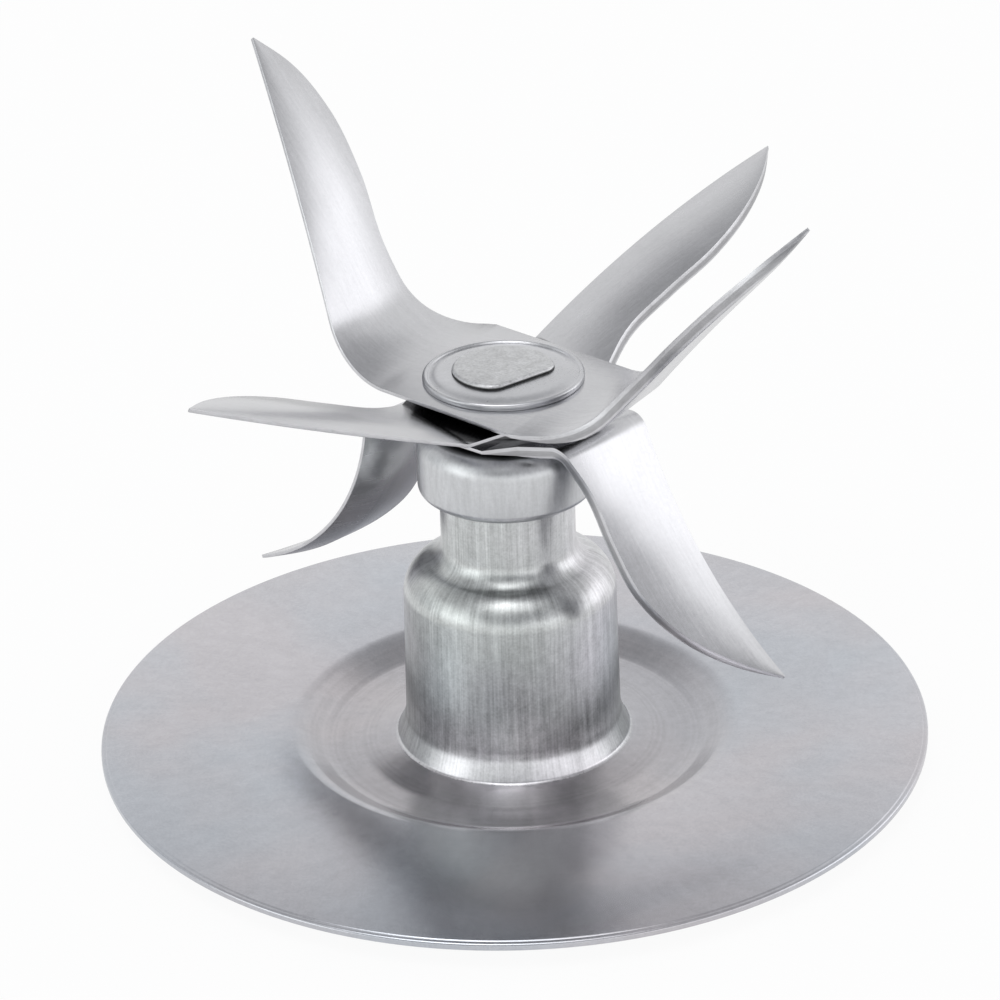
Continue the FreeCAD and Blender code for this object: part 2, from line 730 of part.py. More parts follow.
for thing in doc.Objects:
    if "Invalid" in thing.State or "Error" in thing.State:
        raise RuntimeError("%s failed: %s" % (thing.Name, thing.State))
for node in nodes:
    shape = node.Shape
    if shape.isNull() or not shape.isValid() or len(shape.Solids) != 1:
        raise RuntimeError("%s has no sound single solid" % node.Label)
for node in nodes:
    node.Shape.exportStep("parts/%s.step" % node.Label)
    box = node.Shape.BoundBox
    print("%-20s volume %8.1f  z %.2f to %.2f  x %.1f to %.1f" % (
        node.Label, node.Shape.Volume, box.ZMin, box.ZMax, box.XMin, box.XMax))
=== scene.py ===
# %% [markdown]
# # Blender blade assembly
# Six stainless arms stand over a drawn base disc. The imported CAD model is the frame: its solids
# keep every size, and this script gives them the surfaces of real drawn, pressed and ground sheet.
# The frame is loaded first, and its box is kept; the floor is laid just under it.

# %% Load the frame
import math

import bmesh
import bpy
from mathutils import Matrix, Vector


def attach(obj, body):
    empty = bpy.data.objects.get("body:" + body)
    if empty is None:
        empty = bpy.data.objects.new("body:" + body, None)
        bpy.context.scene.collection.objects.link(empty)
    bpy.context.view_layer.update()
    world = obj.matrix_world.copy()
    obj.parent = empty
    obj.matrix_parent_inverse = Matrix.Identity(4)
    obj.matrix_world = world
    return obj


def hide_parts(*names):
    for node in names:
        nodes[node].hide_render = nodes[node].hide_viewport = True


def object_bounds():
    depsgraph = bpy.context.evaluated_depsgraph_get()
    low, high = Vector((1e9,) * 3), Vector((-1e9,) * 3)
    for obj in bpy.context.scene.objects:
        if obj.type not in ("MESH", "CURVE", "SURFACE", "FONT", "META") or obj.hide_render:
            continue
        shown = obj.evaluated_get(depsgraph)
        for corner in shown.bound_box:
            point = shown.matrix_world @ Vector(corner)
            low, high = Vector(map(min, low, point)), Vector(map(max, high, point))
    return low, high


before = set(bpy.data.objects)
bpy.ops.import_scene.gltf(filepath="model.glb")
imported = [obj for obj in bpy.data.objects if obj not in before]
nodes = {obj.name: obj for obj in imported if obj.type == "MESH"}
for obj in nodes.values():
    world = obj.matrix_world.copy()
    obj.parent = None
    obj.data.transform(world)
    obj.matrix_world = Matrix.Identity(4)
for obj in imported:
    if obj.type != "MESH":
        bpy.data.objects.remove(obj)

MM = 0.001
cad_box = [list(corner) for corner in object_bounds()]
print("nodes:", ", ".join(sorted(nodes)))

# %% [markdown]
# ## Camera
# The picture is taken from a little above, with a long lens, so that the disc is a clean ellipse
# and the blades keep their true lengths. A camera looks along its own minus Z, so its matrix is made
# from three directions: right, up, and away from what it looks at. The picture leans by 1.8 degrees.

# %% Camera
CAMERA_PLACE = Vector((0.0, -0.23351, 0.13442))
CAMERA_TARGET = Vector((-0.00053, 0.0, 0.02008))
CAMERA_LENS = 128.07
CAMERA_ROLL = math.radians(-1.81)
away = (CAMERA_PLACE - CAMERA_TARGET).normalized()
level = Vector((0.0, 0.0, 1.0)).cross(away).normalized()
upright = away.cross(level)
right = level * math.cos(CAMERA_ROLL) + upright * math.sin(CAMERA_ROLL)
up = upright * math.cos(CAMERA_ROLL) - level * math.sin(CAMERA_ROLL)
lens = bpy.data.cameras.new("camera")
lens.lens = CAMERA_LENS
lens.sensor_width = 36.0
lens.clip_start = 0.01
camera = bpy.data.objects.new("camera", lens)
camera.matrix_world = Matrix((
    (right.x, up.x, away.x, CAMERA_PLACE.x),
    (right.y, up.y, away.y, CAMERA_PLACE.y),
    (right.z, up.z, away.z, CAMERA_PLACE.z),
    (0.0, 0.0, 0.0, 1.0),
))
bpy.context.scene.collection.objects.link(camera)
bpy.context.scene.camera = camera
print("camera looks down by", round(math.degrees(math.asin(away.z)), 1), "degrees")

# %% [markdown]
# ## A small helper for shader nodes
# Every finish below is a node tree. Placing a node, setting its sockets and linking it takes three
# lines each time, so one helper does all three: a value that is a socket is linked, and any other
# value is set.

# %% Node helper
def place(tree, kind, settings=None, **inputs):
    """Adds a node, sets its properties and fills its sockets with links or plain values."""
    made = tree.nodes.new(kind)
    for name, setting in (settings or {}).items():
        setattr(made, name, setting)
    for name, given in inputs.items():
        key = int(name[1:]) if name[0] == "_" else name.replace("_", " ")
        socket = made.inputs[key]
        if isinstance(given, bpy.types.NodeSocket):
            tree.links.new(given, socket)
        else:
            socket.default_value = given
    return made


def maths(tree, operation, *values, clamp=False):
    """A Math node's output, for one, two or three values or sockets."""
    given = {"_%d" % i: value for i, value in enumerate(values)}
    return place(tree, "ShaderNodeMath", {"operation": operation, "use_clamp": clamp}, **given).outputs[0]


def ramp(tree, value, low, high):
    """A smooth step from 0 at low to 1 at high."""
    settings = {"interpolation_type": "SMOOTHSTEP"}
    made = place(tree, "ShaderNodeMapRange", settings, Value=value, From_Min=low, From_Max=high)
    return made.outputs["Result"]


def rest(tree, share):
    """What a share leaves: 1 minus the share."""
    return maths(tree, "SUBTRACT", 1.0, share)


def dot(tree, first, second):
    """How far one direction lies along another."""
    made = place(tree, "ShaderNodeVectorMath", {"operation": "DOT_PRODUCT"}, _0=first, _1=second)
    return made.outputs["Value"]


def scaled(tree, vector, factor):
    """A vector or colour multiplied by a factor."""
    return place(tree, "ShaderNodeVectorMath", {"operation": "SCALE"}, _0=vector, Scale=factor).outputs[0]


def blend_colors(tree, share, first, second):
    """Mixes two colours by a share."""
    return place(tree, "ShaderNodeMix", {"data_type": "RGBA"}, _0=share, _6=first, _7=second).outputs[2]


# %% [markdown]
# ## Values to tune
# The colours and levels that decide how the picture looks are kept together. Colours are linear, and
# the bump depths are in metres.

# %% Looks
ROOM_BASE = (0.495, 0.50, 0.51, 1.0)
# The white backdrop behind the object, and each pale wall or soft box of the room: where its middle
# is (turn from the camera's side, height), half its width and height, how soft its edges are (all
# in degrees), and the colour that it adds, which is below 0 for a dark screen
BACKDROP = (180, 2, 56, 38, 16)
WALLS = (
    (104, 12, 33, 18, 5, (1.10, 1.10, 1.10)),
    (130, 26, 15, 14, 6, (0.80, 0.80, 0.80)),
    (84, 8, 66, 26, 14, (0.34, 0.33, 0.34)),
    (-66, 18, 18, 16, 7, (0.95, 0.98, 0.96)),
    (-80, 8, 38, 24, 12, (0.20, 0.21, 0.21)),
    (-5, 0, 66, 15, 6, (0.70, 0.71, 0.70)),
    (15, 31, 26, 12, 7, (-0.16, -0.155, -0.15)),
    (-10, 66, 24, 14, 7, (1.35, 1.35, 1.35)),
)
FLOOR_COLOR = (0.80, 0.80, 0.81, 1.0)
FLOOR_GLOW = 0.93
LAMP_PLACE = Vector((-0.10, -0.10, 0.60))
LAMP_TARGET = Vector((0.0, 0.0, 0.02))
LAMP_SIZE = 0.30
LAMP_WATTS = 0.6
WHITE = (1.0, 1.0, 1.0, 1.0)
# Each part of the base has two tints, and soft patches turn one into the other
FLANGE_COLORS = (0.49, 0.51, 0.55), (0.53, 0.515, 0.54)
RECESS_COLORS = (0.43, 0.43, 0.455), (0.48, 0.46, 0.475)
COLUMN_COLORS = (0.55, 0.572, 0.567), (0.58, 0.575, 0.597)
BASE_ROUGH = 0.25
COLUMN_ROUGH = 0.33
COLUMN_BUMP = 0.000014
COLUMN_CONTRAST = 1.35
BLADE_COLOR = (0.54, 0.542, 0.56)
BLADE_ROUGH = 0.24
BLADE_BUMP = 0.000002
GROUND_COLOR = (0.57, 0.57, 0.59)
SHEAR_COLOR = (0.57, 0.57, 0.59)
CAP_COLOR = (0.60, 0.61, 0.625)
WASHER_COLOR = (0.55, 0.555, 0.575)
RIVET_COLOR = (0.60, 0.605, 0.615)
# How much of the base colour the painted shade leaves in the narrow spaces between the blades and under the
# riveted head
PAINTED_SHADE_LEVEL = 0.08

# %% [markdown]
# ## World
# Polished metal shows what stands around it, so a studio for metal is mostly what the metal sees.
# The room has soft boxes at the sides and above, a dark screen in front and a white backdrop behind.
# Each is a rectangle in a direction, with soft edges, and their colours add up. The camera sees
# white on every side, by way of the Light Path node, and mirrored rays see the backdrop white too.

# %% A soft box of the room
# A box adds nothing to directions that point away from it, and the step between is soft
AHEAD = (0.0, 0.1)


def box_share(tree, unit, turn, height, wide, high, soft):
    """1 inside a rectangle of the room round a direction and 0 outside it, with soft edges."""
    turn, height = math.radians(turn), math.radians(height)
    flat = math.cos(height)
    middle = Vector((math.sin(turn) * flat, -math.cos(turn) * flat, math.sin(height)))
    side = Vector((math.cos(turn), math.sin(turn), 0.0))
    share = ramp(tree, dot(tree, unit, middle), *AHEAD)
    for axis, reach in ((side, wide), (middle.cross(side), high)):
        off = maths(tree, "ABSOLUTE", dot(tree, unit, axis))
        inner, outer = (math.sin(math.radians(reach + step)) for step in (-soft, soft))
        share = maths(tree, "MULTIPLY", share, rest(tree, ramp(tree, off, inner, outer)))
    return share


def ray_kinds(tree):
    """Whether a ray comes from the camera, and whether it was mirrored or went through glass."""
    rays = place(tree, "ShaderNodeLightPath").outputs
    return rays["Is Camera Ray"], maths(tree, "MAXIMUM", rays["Is Glossy Ray"], rays["Is Transmission Ray"])


# %% World
scene = bpy.context.scene
scene.view_settings.view_transform = "Standard"
world = bpy.data.worlds.new("studio")
scene.world = world
world.use_nodes = True
tree = world.node_tree
tree.nodes.clear()
direction = place(tree, "ShaderNodeTexCoord").outputs["Generated"]
unit = place(tree, "ShaderNodeVectorMath", {"operation": "NORMALIZE"}, _0=direction).outputs[0]
room = place(tree, "ShaderNodeRGB").outputs[0]
room.default_value = ROOM_BASE
for *where, color in WALLS:
    added = scaled(tree, color, box_share(tree, unit, *where))
    room = place(tree, "ShaderNodeVectorMath", {"operation": "ADD"}, _0=room, _1=added).outputs[0]
behind = box_share(tree, unit, *BACKDROP)
room = blend_colors(tree, behind, room, WHITE)
seen_room = place(tree, "ShaderNodeBackground", Color=room, Strength=1.0)
white = place(tree, "ShaderNodeBackground", Color=WHITE, Strength=1.0)
seen, mirrored = ray_kinds(tree)
share = maths(tree, "MAXIMUM", seen, maths(tree, "MULTIPLY", mirrored, behind))
choice = place(tree, "ShaderNodeMixShader", _0=share, _1=seen_room.outputs[0], _2=white.outputs[0])
place(tree, "ShaderNodeOutputWorld", Surface=choice.outputs[0])
print("room:", len(WALLS), "soft boxes or screens and one backdrop")

# %% [markdown]
# ## Floor
# The floor is a plain pale sheet just under the disc. Camera and mirrored rays see it almost white,
# and the small share that is left keeps the soft shadow.

# %% Floor
FLOOR_REACH = 1.5
FLOOR_GAP = 0.0002
bm = bmesh.new()
bmesh.ops.create_grid(bm, x_segments=1, y_segments=1, size=FLOOR_REACH)
bmesh.ops.translate(bm, verts=bm.verts, vec=(0.0, 0.0, cad_box[0][2] - FLOOR_GAP))
floor_mesh = bpy.data.meshes.new("floor")
bm.to_mesh(floor_mesh)
bm.free()
floor = bpy.data.objects.new("floor", floor_mesh)
scene.collection.objects.link(floor)
paper = bpy.data.materials.new("floor_paper")
paper.use_nodes = True
tree = paper.node_tree
tree.nodes.clear()
matt = place(tree, "ShaderNodeBsdfDiffuse", Color=FLOOR_COLOR)
glow = place(tree, "ShaderNodeEmission", Color=WHITE, Strength=1.0)
seen, mirrored = ray_kinds(tree)
share = maths(tree, "MULTIPLY", maths(tree, "MAXIMUM", seen, mirrored), FLOOR_GLOW)
choice = place(tree, "ShaderNodeMixShader", _0=share, _1=matt.outputs[0], _2=glow.outputs[0])
place(tree, "ShaderNodeOutputMaterial", Surface=choice.outputs[0])
floor_mesh.materials.append(paper)
print("floor:", FLOOR_GAP / MM, "mm under the disc")

# %% [markdown]
# ## Lamp
# The room gives nearly all the light. One soft square lamp, high in front and to the left, adds a
# little direction, so that the blades shade each other and the floor.

# %% Lamp
lamp = bpy.data.lights.new("top_panel", "AREA")
lamp.shape = "SQUARE"
lamp.size = LAMP_SIZE
lamp.energy = LAMP_WATTS
panel = bpy.data.objects.new("top_panel", lamp)
panel.location = LAMP_PLACE
panel.rotation_euler = (LAMP_TARGET - LAMP_PLACE).to_track_quat("-Z", "Y").to_euler()
scene.collection.objects.link(panel)
print("lamp:", LAMP_WATTS, "W,", round((LAMP_TARGET - LAMP_PLACE).length, 2), "m away")

# %% [markdown]
# ## Steel finishes
# Stainless sheet is never one grey. Rolling, drawing and brushing leave fine lines in one direction,
# and handling leaves cloudy patches. Two shader groups hold these effects, and each finish uses them
# with its own values. A group puts out masks and heights only, and the shader stays in the material.

# %% Group: fine lines
FINE_SHARE = 0.6
COARSE_SCALE = 0.23
lines = bpy.data.node_groups.new("fine_lines", "ShaderNodeTree")
for name, kind in (("Vector", "NodeSocketVector"), ("Stretch", "NodeSocketVector"),
                   ("Contrast", "NodeSocketFloat")):
    lines.interface.new_socket(name, in_out="INPUT", socket_type=kind)
for name in ("Height", "Tone"):
    lines.interface.new_socket(name, in_out="OUTPUT", socket_type="NodeSocketFloat")
start = lines.nodes.new("NodeGroupInput")
end = lines.nodes.new("NodeGroupOutput")
stretched = place(lines, "ShaderNodeVectorMath", {"operation": "MULTIPLY"}, _0=start.outputs["Vector"],
                  _1=start.outputs["Stretch"]).outputs[0]
fine = place(lines, "ShaderNodeTexNoise", Vector=stretched, Scale=1.0, Detail=3.0,
             Roughness=0.6).outputs["Fac"]
coarse_place = scaled(lines, stretched, COARSE_SCALE)
coarse = place(lines, "ShaderNodeTexNoise", Vector=coarse_place, Scale=1.0, Detail=2.0,
               Roughness=0.5).outputs["Fac"]
both = maths(lines, "ADD", maths(lines, "MULTIPLY", fine, FINE_SHARE),
             maths(lines, "MULTIPLY", coarse, 1.0 - FINE_SHARE))
centred = maths(lines, "MULTIPLY", maths(lines, "SUBTRACT", both, 0.5), start.outputs["Contrast"])
lines.links.new(both, end.inputs["Height"])
lines.links.new(centred, end.inputs["Tone"])

# %% [markdown]
# ### Cloudy patches
# The second group gives slow patches and fine specks at a size of its own. Both are centred on 0, so
# that they make a colour lighter in some places and darker in others.

# %% Group: cloudy patches
SPECKS_TO_A_PATCH = 24.0
clouds = bpy.data.node_groups.new("clouds", "ShaderNodeTree")
for name, kind in (("Vector", "NodeSocketVector"), ("Size", "NodeSocketFloat"),
                   ("Amount", "NodeSocketFloat")):
    clouds.interface.new_socket(name, in_out="INPUT", socket_type=kind)
for name in ("Patch", "Speck"):
    clouds.interface.new_socket(name, in_out="OUTPUT", socket_type="NodeSocketFloat")
start = clouds.nodes.new("NodeGroupInput")
end = clouds.nodes.new("NodeGroupOutput")
large = place(clouds, "ShaderNodeTexNoise", Vector=start.outputs["Vector"], Scale=start.outputs["Size"],
              Detail=3.0, Roughness=0.55, Distortion=0.3).outputs["Fac"]
speck_size = maths(clouds, "MULTIPLY", start.outputs["Size"], SPECKS_TO_A_PATCH)
small = place(clouds, "ShaderNodeTexNoise", Vector=start.outputs["Vector"], Scale=speck_size, Detail=2.0,
              Roughness=0.6).outputs["Fac"]
for value, name in ((large, "Patch"), (small, "Speck")):
    centred = maths(clouds, "MULTIPLY", maths(clouds, "SUBTRACT", value, 0.5), start.outputs["Amount"])
    clouds.links.new(centred, end.inputs[name])


def group(tree, made, **inputs):
    """Places a shader group and fills its inputs."""
    return place(tree, "ShaderNodeGroup", {"node_tree": made}, **inputs)


# %% [markdown]
# ### A common steel material
# All the steel parts share one way to build the material: a base colour that the patches tint a
# little, a roughness that lines and patches change, and a bump of the lines. The lines may follow
# Object coordinates, as on the cap, or the blade's own UV map, as on the brushed arms.

# %% Steel builder
ROUGH_SWING = 0.4


def new_steel(name, color, rough):
    """An empty metal material: its tree, its shader and the Object coordinates."""
    made = bpy.data.materials.new(name)
    made.use_nodes = True
    tree = made.node_tree
    shader = tree.nodes["Principled BSDF"]
    shader.inputs["Metallic"].default_value = 1.0
    shader.inputs["Base Color"].default_value = (*color, 1.0)
    shader.inputs["Roughness"].default_value = rough
    coords = place(tree, "ShaderNodeTexCoord")
    return made, tree, shader, coords


def tinted(tree, color, *tones):
    """The base colour made lighter or darker by the sum of the tones."""
    total = tones[0]
    for tone in tones[1:]:
        total = maths(tree, "ADD", total, tone)
    return scaled(tree, color, maths(tree, "ADD", total, 1.0))


def bumped(tree, shader, height, depth):
    """Feeds a height between 0 and 1 to the shader's normal; the depth is in metres."""
    bump = place(tree, "ShaderNodeBump", Height=height, Distance=depth, Strength=1.0)
    tree.links.new(bump.outputs["Normal"], shader.inputs["Normal"])


def simple_steel(name, color, rough, stretch, contrast, depth, use_uv=False, cloud=0.12, cloud_size=90.0,
                 speck=0.3):
    """Steel with lines or a grain, and with cloudy patches."""
    made, tree, shader, coords = new_steel(name, color, rough)
    where = coords.outputs["UV" if use_uv else "Object"]
    drawn = group(tree, lines, Vector=where, Stretch=stretch, Contrast=contrast)
    patchy = group(tree, clouds, Vector=coords.outputs["Object"], Size=cloud_size, Amount=cloud)
    specks = maths(tree, "MULTIPLY", patchy.outputs["Speck"], speck)
    tone = maths(tree, "ADD", patchy.outputs["Patch"], specks)
    tree.links.new(tinted(tree, color, drawn.outputs["Tone"], tone), shader.inputs["Base Color"])
    uneven = maths(tree, "MULTIPLY", maths(tree, "ADD", drawn.outputs["Tone"], tone), ROUGH_SWING)
    tree.links.new(maths(tree, "ADD", uneven, rough, clamp=True), shader.inputs["Roughness"])
    bumped(tree, shader, drawn.outputs["Height"], depth)
    return made


# %% [markdown]
# ### Painted shade in the narrow spaces
# Between the blades and under the riveted head the gaps lie in shade, and that shade is painted into the
# steel's colour. A mask by radius and height finds the place: it fades out between two radii, and it
# lies between two heights.

# %% Painted shade near the axis
# How far the painted shade takes to end above and below its two heights
EDGE = 0.0001


def from_axis(tree, where):
    """The flat direction from the axis, the distance from it and the height, from a place."""
    parts = place(tree, "ShaderNodeSeparateXYZ", Vector=where).outputs
    flat = place(tree, "ShaderNodeCombineXYZ", X=parts["X"], Y=parts["Y"]).outputs[0]
    radius = place(tree, "ShaderNodeVectorMath", {"operation": "LENGTH"}, _0=flat).outputs["Value"]
    return flat, radius, parts["Z"]


def darken(made, share, level):
    """Multiplies a material's base colour: by 1 where the share is 0 and by the level where it is 1."""
    tree = made.node_tree
    base = tree.nodes["Principled BSDF"].inputs["Base Color"]
    factor = maths(tree, "ADD", 1.0, maths(tree, "MULTIPLY", share, level - 1.0))
    tree.links.new(scaled(tree, base.links[0].from_socket, factor), base)


def with_painted_shade(made, inner, outer, low, high):
    """Paints shade into a material near the axis, out to two radii and between two heights, all in metres.
    """
    tree = made.node_tree
    _, radius, height = from_axis(tree, place(tree, "ShaderNodeTexCoord").outputs["Object"])
    above = ramp(tree, height, low - EDGE, low)
    below = rest(tree, ramp(tree, height, high, high + EDGE))
    near = rest(tree, ramp(tree, radius, inner, outer))
    darken(made, maths(tree, "MULTIPLY", near, maths(tree, "MULTIPLY", above, below)), PAINTED_SHADE_LEVEL)


# %% [markdown]
# ### Steel of the blades
# The stretch says how close the lines lie in each direction, per metre, so a large value across and
# a small one along give brushing. The ground bevel is scratched across the edge. A sheared edge has a
# bright rolled band at the top and a darker torn band below it, which two steps through the sheet mark.

# %% Blade steels
# Painted shade on the middle blade's top near the hub, in the narrow gap under the upper blade
BLADE_PAINTED_SHADE = (0.0089, 0.0097, 0.0284, 0.02897)
TORN_FROM = (-0.0003, -0.0002)
TORN_TO = (0.00012, 0.0002)
TORN_LEVEL = 0.66
blade_face = simple_steel("blade_face", BLADE_COLOR, BLADE_ROUGH, (300.0, 5200.0, 1.0), 0.28, BLADE_BUMP,
                          use_uv=True, cloud=0.3, cloud_size=130.0, speck=0.5)
with_painted_shade(blade_face, *BLADE_PAINTED_SHADE)
ground_face = simple_steel("ground_face", GROUND_COLOR, 0.26, (6000.0, 500.0, 1.0), 0.5, 0.000006,
                           use_uv=True, cloud=0.2, cloud_size=300.0)
sheared_edge = simple_steel("sheared_edge", SHEAR_COLOR, 0.32, (1500.0, 9000.0, 1.0), 0.8, 0.00002,
                            use_uv=True, cloud=0.3, cloud_size=600.0)
tree = sheared_edge.node_tree
strip_place = place(tree, "ShaderNodeTexCoord").outputs["UV"]
through = place(tree, "ShaderNodeSeparateXYZ", Vector=strip_place).outputs["Y"]
torn = maths(tree, "SUBTRACT", ramp(tree, through, *TORN_FROM), ramp(tree, through, *TORN_TO))
darken(sheared_edge, torn, TORN_LEVEL)
print("blade steels:", blade_face.name, ground_face.name, sheared_edge.name)

# %% [markdown]
# ### Steel of the pressed and turned parts
# The cap and the washer are pressed, with a fine grain and soft patches. The riveted head is matt and
# pitted by the hammer. The spacer, the shaft and the socket were turned, so their lines run round them.

# %% Pressed and turned steels
# Painted shade on the cap's top under the blades and on the lower rim of the riveted head
CAP_PAINTED_SHADE = (0.0050, 0.0062, 0.02595, 0.030)
RIVET_PAINTED_SHADE = (0.0040, 0.0050, 0.0300, 0.03058)
cap_face = simple_steel("cap_face", CAP_COLOR, 0.36, (3500.0, 3500.0, 500.0), 0.6, 0.000014, cloud=0.3,
                        cloud_size=180.0, speck=0.8)
with_painted_shade(cap_face, *CAP_PAINTED_SHADE)
washer_face = simple_steel("washer_face", WASHER_COLOR, 0.3, (2500.0, 2500.0, 2500.0), 0.3, 0.000008,
                           cloud=0.35, cloud_size=250.0, speck=0.6)
rivet_face = simple_steel("rivet_face", RIVET_COLOR, 0.46, (5200.0, 5200.0, 5200.0), 1.3, 0.00007,
                          cloud=0.3, cloud_size=400.0)
with_painted_shade(rivet_face, *RIVET_PAINTED_SHADE)
turned_face = simple_steel("turned_face", (0.42, 0.42, 0.43), 0.35, (900.0, 900.0, 9000.0), 0.5, 0.00001)
# A darker copy of the turned steel: painted shade for the spacer in the narrow gap between the blades
shadowed_face = simple_steel("shadowed_face", (0.28, 0.28, 0.285), 0.5, (900.0, 900.0, 5000.0), 0.5, 0.00001)
shaft_face = simple_steel("shaft_face", (0.55, 0.55, 0.56), 0.2, (900.0, 900.0, 9000.0), 0.3, 0.000005)
print("pressed:", cap_face.name, washer_face.name, rivet_face.name)
print("turned:", turned_face.name, shadowed_face.name, shaft_face.name)

# %% [markdown]
# ### The drawn base
# The base is one sheet, but drawing has changed its finish from place to place. The flange keeps the
# smooth rolled surface. The recess floor has faint rings where the tool turned on it. The column and
# the neck were pulled through a die, which leaves fine upright lines. Masks by radius and height, in
# metres, put each finish in its place.

# %% Masks of the base
COLUMN_EDGE = (0.0087, 0.0091)
COLUMN_START = (0.0007, 0.0016)
RECESS_EDGE = (0.0150, 0.0172)
base_face, tree, shader, coords = new_steel("base_face", FLANGE_COLORS[0], BASE_ROUGH)
where = coords.outputs["Object"]
flat_place, radius, height = from_axis(tree, where)
in_column = rest(tree, ramp(tree, radius, *COLUMN_EDGE))
column_mask = maths(tree, "MULTIPLY", in_column, ramp(tree, height, *COLUMN_START))
in_recess = rest(tree, ramp(tree, radius, *RECESS_EDGE))
recess_mask = maths(tree, "MULTIPLY", in_recess, rest(tree, column_mask))

# %% [markdown]
# ### Lines of the base
# Upright lines need a place that changes fast round the axis and slowly up the wall. The direction
# from the axis gives the first, and height less radius the second, so the lines also run in over the
# shoulder. Rings need the radius alone. A fine grain without direction lies over the whole sheet.

# %% Lines of the base
UPRIGHT_SCALE = 170.0
UPRIGHT_STRETCH = (42.0, 42.0, 1.0)
RING_STRETCH = (2600.0, 1.0, 1.0)
GRAIN_STRETCH = (5600.0, 5600.0, 5600.0)
GRAIN_ON_COLUMN = 1.3
around = place(tree, "ShaderNodeVectorMath", {"operation": "NORMALIZE"}, _0=flat_place).outputs[0]
round_parts = place(tree, "ShaderNodeSeparateXYZ", Vector=around).outputs
along = maths(tree, "MULTIPLY", maths(tree, "SUBTRACT", height, radius), UPRIGHT_SCALE)
drawn_place = place(tree, "ShaderNodeCombineXYZ", X=round_parts["X"], Y=round_parts["Y"], Z=along).outputs[0]
ring_place = place(tree, "ShaderNodeCombineXYZ", X=radius).outputs[0]
upright = group(tree, lines, Vector=drawn_place, Stretch=UPRIGHT_STRETCH, Contrast=COLUMN_CONTRAST).outputs
rings = group(tree, lines, Vector=ring_place, Stretch=RING_STRETCH, Contrast=0.45).outputs
grain = group(tree, lines, Vector=where, Stretch=GRAIN_STRETCH, Contrast=0.4).outputs
column_tone = maths(tree, "ADD", upright["Tone"], maths(tree, "MULTIPLY", grain["Tone"], GRAIN_ON_COLUMN))
on_column = maths(tree, "MULTIPLY", column_tone, column_mask)
on_recess = maths(tree, "MULTIPLY", rings["Tone"], recess_mask)
all_lines = maths(tree, "ADD", maths(tree, "ADD", on_column, on_recess), grain["Tone"])

# %% [markdown]
# ### Colour of the base
# Each finish has two tints, and slow patches turn one into the other. Painted shade darkens the recess
# wall and the lower column, and a painted highlight brightens the flare at the column's foot.

# %% Colour of the base
# Where the painted shade and the painted highlight of the base lie, in metres, and how strong they are
WALL_START = (0.0137, 0.0143)
WALL_END = (0.0160, 0.0172)
SHADED_COLUMN_HEIGHTS = (0.0030, 0.0100)
FLARE_HIGHLIGHT_HEIGHTS = (0.0025, 0.0029)
FLARE_PAINTED_HIGHLIGHT = 1.6
COLUMN_PAINTED_SHADE = -0.22
WALL_PAINTED_SHADE = -0.03
SPECK_SHARE = 0.35
patchy = group(tree, clouds, Vector=where, Size=55.0, Amount=0.22).outputs
tone = maths(tree, "ADD", patchy["Patch"], maths(tree, "MULTIPLY", patchy["Speck"], SPECK_SHARE))
hue_patch = group(tree, clouds, Vector=where, Size=42.0, Amount=5.0).outputs["Patch"]
hue = maths(tree, "ADD", hue_patch, 0.5, clamp=True)
flange_color, recess_color, column_color = (
    blend_colors(tree, hue, (*first, 1.0), (*second, 1.0)) for first, second in
    (FLANGE_COLORS, RECESS_COLORS, COLUMN_COLORS))
color = blend_colors(tree, recess_mask, flange_color, recess_color)
color = blend_colors(tree, column_mask, color, column_color)
# Painted shade on the recess wall and the lower column, and a painted highlight on the flare at its foot
shaded_wall = maths(tree, "MULTIPLY", ramp(tree, radius, *WALL_START), rest(tree, ramp(tree, radius, *WALL_END)))
shaded_low_column = rest(tree, ramp(tree, height, *SHADED_COLUMN_HEIGHTS))
flare_highlight = maths(tree, "MULTIPLY", rest(tree, ramp(tree, height, *FLARE_HIGHLIGHT_HEIGHTS)), FLARE_PAINTED_HIGHLIGHT)
painted_column_light = maths(tree, "MULTIPLY", column_mask, maths(tree, "SUBTRACT", shaded_low_column, flare_highlight))
painted_column_light = maths(tree, "MULTIPLY", painted_column_light, COLUMN_PAINTED_SHADE)
painted_base_light = maths(tree, "ADD", painted_column_light, maths(tree, "MULTIPLY", shaded_wall, WALL_PAINTED_SHADE))
tree.links.new(tinted(tree, color, all_lines, tone, painted_base_light), shader.inputs["Base Color"])

# %% [markdown]
# ### Roughness and bump of the base
# The column is a little rougher than the rolled flange. One bump takes the heights of all the lines,
# so that they don't fight each other: deep upright lines, shallow rings and a faint grain.

# %% Roughness and bump of the base
BASE_SWING = 0.14
RING_DEPTH = 0.35
GRAIN_DEPTH = 0.06
more_rough = maths(tree, "MULTIPLY", column_mask, COLUMN_ROUGH - BASE_ROUGH)
level_rough = maths(tree, "ADD", more_rough, BASE_ROUGH)
uneven = maths(tree, "MULTIPLY", maths(tree, "ADD", all_lines, tone), BASE_SWING)
tree.links.new(maths(tree, "ADD", level_rough, uneven, clamp=True), shader.inputs["Roughness"])
column_height = maths(tree, "MULTIPLY", upright["Height"], column_mask)
ring_height = maths(tree, "MULTIPLY", rings["Height"], maths(tree, "MULTIPLY", recess_mask, RING_DEPTH))
grain_height = maths(tree, "MULTIPLY", grain["Height"], GRAIN_DEPTH)
total_height = maths(tree, "ADD", maths(tree, "ADD", column_height, ring_height), grain_height)
bumped(tree, shader, total_height, COLUMN_BUMP)
print("base material:", len(tree.nodes), "nodes")

# %% [markdown]
# ### Parts that aren't steel
# The bush is sintered bronze, which is dull and slightly porous. The thrust washers are pale nylon,
# and the lip seal is black rubber. They lie inside the column, out of sight from above.

# %% Bronze, nylon and rubber
DULL_SWING = 0.3
DULL_BUMP = 0.00002


